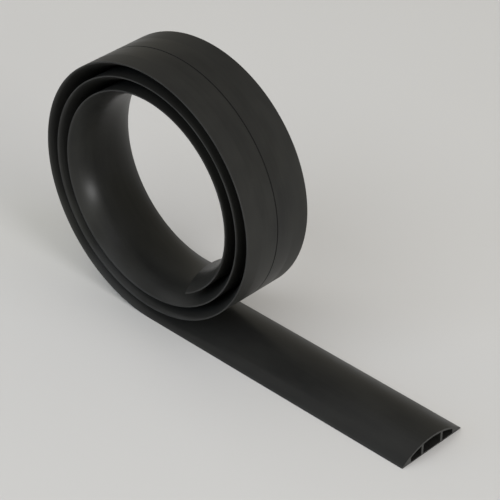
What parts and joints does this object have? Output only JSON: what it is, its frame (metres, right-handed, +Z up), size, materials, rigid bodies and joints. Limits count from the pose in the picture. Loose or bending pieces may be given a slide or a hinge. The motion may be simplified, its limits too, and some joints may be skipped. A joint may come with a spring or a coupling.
{
  "type": "floor cable cover",
  "caption": "Low domed extruded cover strip with enclosed cable channels and a slit underside, part-rolled into a coil with a straight tail lying flat.",
  "frame": {"origin": "on the floor, in the middle of the part's overall box seen from above", "axes": "+X along the flat tail towards its cut end, +Y across the strip, +Z up"},
  "size_m": [0.3312, 0.0574, 0.1984],
  "materials": {
    "soft_pvc": "matte"
  },
  "bodies": {
    "root": {"cable_cover": "soft_pvc"}
  },
  "joints": []
}
